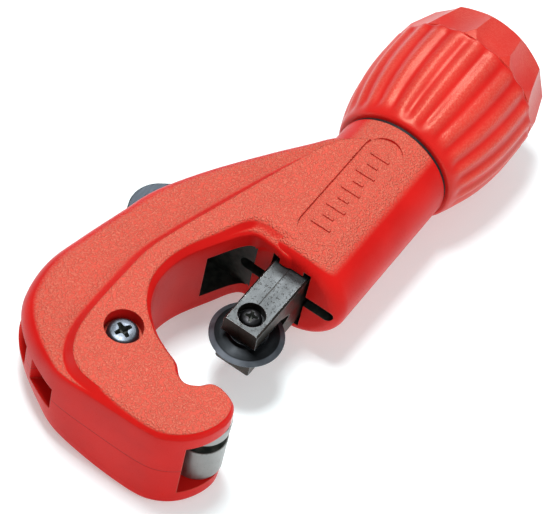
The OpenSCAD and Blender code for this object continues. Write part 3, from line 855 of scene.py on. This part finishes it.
def make_screws(zinc, black, recess):
    """Bright pan-head screw of the deburrer, and the black screw that the wheel turns on."""
    seat, thread_r, axle_r, axle_tip_r = 11.72, 2, 1.75, 1.5
    arm_low = -3.3  # the axle's shoulder, on the lower arm of the carriage
    pan_head = [(thread_r, seat), (4, seat), (4, 13.5), (3.3, 14.25), (1.8, 14.52), (0, SCREW_TOP)]
    make_screw("deburrer_cross_screw", rounded(pan_head, 0.4),
               [(0, -15.2), (thread_r - 0.3, -15.2), (thread_r, -14.9)], (PIVOT.x, PIVOT.y),
               (SCREW_TOP, 2.5, 0.66, 1.9, -25), zinc, recess, "frame", "zinc_steel", "deburrer_screw")
    low = CARRIAGE_LOW.z + 1
    axle_head = [(axle_r, 5.82), (2.9, 5.82), (2.9, 7.1), (2.45, 7.9), (1.4, 8.3), (0, 8.4)]
    make_screw("axle_cross_screw", rounded(axle_head, 0.4),
               [(0, low), (axle_tip_r, low), (axle_tip_r, arm_low), (axle_r, arm_low)], (0, 0),
               (8.3, 1.9, 0.5, 1.6, 20), black, recess, "carriage", "black_steel", "wheel_axle_screw")


# ---------- wheel, rollers and blade ----------

def make_wheel(metal):
    """Hub and bevelled rim drawn to an edge."""
    hub_r, bore_r = 5.3, 1.8
    half = [(WHEEL_R, 0.04), (WHEEL_R - 1.3, 0.62), (WHEEL_R - 1.5, 0.72), (WHEEL_R - 2.6, 1.05),
            (hub_r + 0.25, 1.35), (hub_r, 1.5), (hub_r, HUB_H), (bore_r, HUB_H)]
    half = rounded(half, 0.22, 3)
    profile = [(r, -z) for r, z in reversed(half)] + half + [(bore_r, -HUB_H)]
    wheel = lathe("cutter_disc", profile, 160)
    wheel.data.materials.append(metal)
    shade(wheel, 24)
    return finish_piece(wheel, "wheel", "tool_steel", "cutter_wheel")


def make_roller(name, y, metal, dark):
    """Satin roller with a deep groove for flared tube ends above its middle; the groove's faces are
    near-black with painted shade.
    """
    bore_r = 2.05
    groove_r, groove_low, groove_high = ROLLER_R - 2.2, 2.2, 5.9
    h = ROLLER_H
    outside = rounded([(bore_r, -h), (ROLLER_R, -h), (ROLLER_R, groove_low), (groove_r, 2.5),
                       (groove_r, 5.7), (ROLLER_R, groove_high), (ROLLER_R, h), (bore_r, h)], 0.25, 3)
    roller = lathe(name, outside + [(bore_r, -h)], 128, on_axle(ROLLER_X, y))
    roller.data.materials.append(metal)
    roller.data.materials.append(dark)
    mesh = roller.data
    for face in mesh.polygons:
        at = (face.center - ORIGIN) / MM
        reach = math.hypot(at.x - ROLLER_X, at.y - y)
        if groove_low < at.z < groove_high and reach < ROLLER_R - 0.3:
            face.material_index = 1
    shade(roller, 24)
    return finish_piece(roller, name, "roller_steel", name)  # the body is named after its roller


def capsule_rings(start, r0, end, r1, levels, steps=40):
    """Hull of two circles, as one ring of points for each (height, inset) level."""
    axis = Vector((end[0] - start[0], end[1] - start[1]))
    heading = math.degrees(math.atan2(axis.y, axis.x))
    lean = math.degrees(math.acos((r0 - r1) / axis.length))
    rings = []
    for z, step_in in levels:
        ring = arc(end, r1 - step_in, heading - lean, heading + lean, steps)
        ring += arc(start, r0 - step_in, heading + lean, heading + 360 - lean, steps)
        rings.append([(x, y, z) for x, y in ring])
    return rings


def capsule(name, start, r0, end, r1, levels):
    """Solid over the hull of two circles."""
    rings = capsule_rings(start, r0, end, r1, levels)
    faces = closed_faces(len(rings), len(rings[0]))
    return mesh_object(name, [p for ring in rings for p in ring], faces)


def make_blade(metal):
    """Deburring blade: boss, waist, round thumb lug and a ground point."""
    waist, tip = (-17.5, 29.5), (31.5, 30.2)
    h, soft = BLADE_HALF, 0.28
    levels = [(-h, soft), (soft - h, 0), (h - soft, 0), (h, soft)]
    pivot, lug = (PIVOT.x, PIVOT.y), (LUG.x, LUG.y)
    blade = capsule("blade", waist, 3.6, lug, LUG_R, levels)
    boss = capsule("blade_boss", pivot, 4.2, waist, 3.6, levels)
    point = capsule("blade_point", lug, LUG_R, tip, 0.8, levels)
    for part in (blade, boss, point):
        part.data.materials.append(metal)
    cut(blade, [boss, point], "UNION")
    hole = drill("pivot_bore", PIVOT.x, PIVOT.y, 2.05, -5, 5)
    hole.data.materials.append(metal)
    cut(blade, [hole])
    shade(blade, 24)
    return finish_piece(blade, "deburrer", "tool_steel", "deburrer_blade")


# ---------- stage ----------

# Plane that the tool lies on, touching the jaw and the knob
FLOOR_SLOPE = -0.0456
FLOOR_AT = (-44, 0, -16)


def make_floor():
    """Pale paper, with a little light of its own so that it stays plain."""
    slope = math.atan(-FLOOR_SLOPE)
    size = 4000
    place = Matrix.Translation(FLOOR_AT) @ Matrix.Rotation(slope, 4, "Y")
    corners = [(-size, -size, 0), (size, -size, 0), (size, size, 0), (-size, size, 0)]
    floor = mesh_object("floor", corners, [(0, 1, 2, 3)], place)
    shader = Shader("pale_paper", Specular_IOR_Level=0.1, Emission_Color=(1, 1, 1, 1),
                    Emission_Strength=0.28)
    shader.soft_edges(0.1)
    fibre = shader.noise(2.0, 3.0)
    colour = shader.tint(fibre, (0.75, 0.86, 0.875), (0.79, 0.90, 0.915))
    floor.data.materials.append(shader.done(colour, shader.band(fibre, 0.2, 0.8, 0.8, 0.95),
                                            shader.calc("MULTIPLY", fibre, 0.01)))


def point_at(ob, eye, target, roll=0.0):
    """Puts a light or a camera at eye, looking at target."""
    turn = (target - eye).to_track_quat("-Z", "Y").to_matrix().to_4x4()
    ob.matrix_world = Matrix.Translation(eye) @ turn @ Matrix.Rotation(math.radians(roll), 4, "Z")


def from_angle(azimuth, elevation, distance):
    """Point in the row frame at that direction and distance, in metres, from the wheel's axle."""
    a, e = math.radians(azimuth), math.radians(elevation)
    return ORIGIN + distance * Vector((math.cos(e) * math.cos(a), math.cos(e) * math.sin(a), math.sin(e)))


def make_light(name, azimuth, elevation, distance, size, power, diffuse=True, glossy=True):
    """Soft box that faces the tool; it may light only the gloss or only the diffuse colour."""
    data = bpy.data.lights.new(name, "AREA")
    data.shape = "RECTANGLE"
    data.size, data.size_y = size
    data.energy = power
    light = bpy.data.objects.new(name, data)
    bpy.context.scene.collection.objects.link(light)
    light.visible_diffuse, light.visible_glossy = diffuse, glossy
    point_at(light, from_angle(azimuth, elevation, distance), TO_ROW @ Vector((20, 10, 0)))


def make_lights():
    """A small key from above, a sheen for the flat top, a wide fill from the front and pale air."""
    make_light("key", 75, 78, 1.0, (0.25, 0.25), 9.0)
    make_light("sheen", 25, 52, 1.0, (0.4, 0.35), 7.0, diffuse=False)
    make_light("front", -105, 38, 1.2, (1.0, 0.8), 5.0, glossy=False)
    world = bpy.data.worlds.new("studio")
    world.use_nodes = True
    background = world.node_tree.nodes["Background"]
    background.inputs["Color"].default_value = (1.0, 1.0, 1.0, 1)
    background.inputs["Strength"].default_value = 0.35
    bpy.context.scene.world = world
    bpy.context.scene.view_settings.view_transform = "Standard"


def make_camera():
    """Camera at the photograph's viewing angle, aimed at a point over the barrel."""
    data = bpy.data.cameras.new("camera")
    data.sensor_width = 36
    data.lens = 185.3
    camera = bpy.data.objects.new("camera", data)
    bpy.context.scene.collection.objects.link(camera)
    eye = from_angle(-157.27, 56.14, 0.7)
    point_at(camera, eye, TO_ROW @ Vector((23.79, 7.6, 0)), 14.55)
    bpy.context.scene.camera = camera


# ---------- the tool ----------

def paint_node(node, material):
    """Gives a CAD node that stays as it is its finished material."""
    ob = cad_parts[node]
    ob.data.materials.clear()
    ob.data.materials.append(material)


def build_tool():
    """The rebuilt pieces, and the finished materials of the CAD nodes that stay."""
    # The casting's level outer faces and the knob's rib crests get the lighter red as painted sheen.
    casting_red = red_coat("casting_red", Shader.outer_faces, 0.3, parting=True)
    knob_red = red_coat("knob_red", lambda shader: shader.calc("MULTIPLY", shader.attribute("crest"), 0.4),
                        0.1, 0.3)
    cap_red = red_coat("cap_red", lambda shader: shader.band(shader.noise(9.0), 0.3, 0.7, 0.1, 0.3),
                       0.05, 0.3)
    # Near-black cut walls, screw recesses and roller grooves: painted shade.
    bore = painted_shade_walls("painted_shade_bore")
    recess = painted_shade_walls("screw_recess_shade")
    zinc = steel("zinc_plate", (0.05, 0.06, 0.075), (0.12, 0.14, 0.165), (0.28, 0.42), (1, 1, 1), 0.006,
                 (0.22, 0.25, 0.28))
    black = steel("black_oxide", (0.008, 0.008, 0.009), (0.035, 0.035, 0.038), (0.28, 0.42), (1, 1, 1), 0.01,
                  (0.45, 0.47, 0.50))
    satin = steel("satin_roller", (0.19, 0.18, 0.175), (0.36, 0.35, 0.34), (0.30, 0.45), (1, 1, 0.12), 0.01,
                  (0.65, 0.65, 0.63))
    tool = steel("tool_steel", (0.010, 0.013, 0.017), (0.032, 0.039, 0.048), (0.32, 0.45), (0.15, 1, 1),
                 0.01, (0.14, 0.16, 0.19))
    bronze = steel("bronze", (0.40, 0.26, 0.11), (0.66, 0.47, 0.24), (0.35, 0.5), (1, 1, 1), 0.01,
                   (0.8, 0.65, 0.4))
    make_casting(casting_red, bore)
    make_knob(knob_red)
    make_cap(cap_red)
    make_screws(zinc, black, recess)
    make_wheel(wheel_steel())
    for name, side in (("roller_outer", -1), ("roller_inner", 1)):
        make_roller(name, side * ROLLER_Y, satin, bore)
    make_blade(tool)
    paint_node("carriage", carriage_steel())
    paint_node("knob_slide_ring", black_plastic())
    for node in ("feed_spindle", "retaining_ring"):
        paint_node(node, black)
    for node in ("outer_washer", "knob_screw", "knob_screw_washer", "drive_pin", "roller_pin_outer",
                 "roller_pin_inner", "deburrer_spacer", "deburrer_nut"):
        paint_node(node, zinc)
    for node in ("thrust_washer", "deburrer_wave_washer"):
        paint_node(node, bronze)


build_tool()
make_floor()
make_lights()
make_camera()
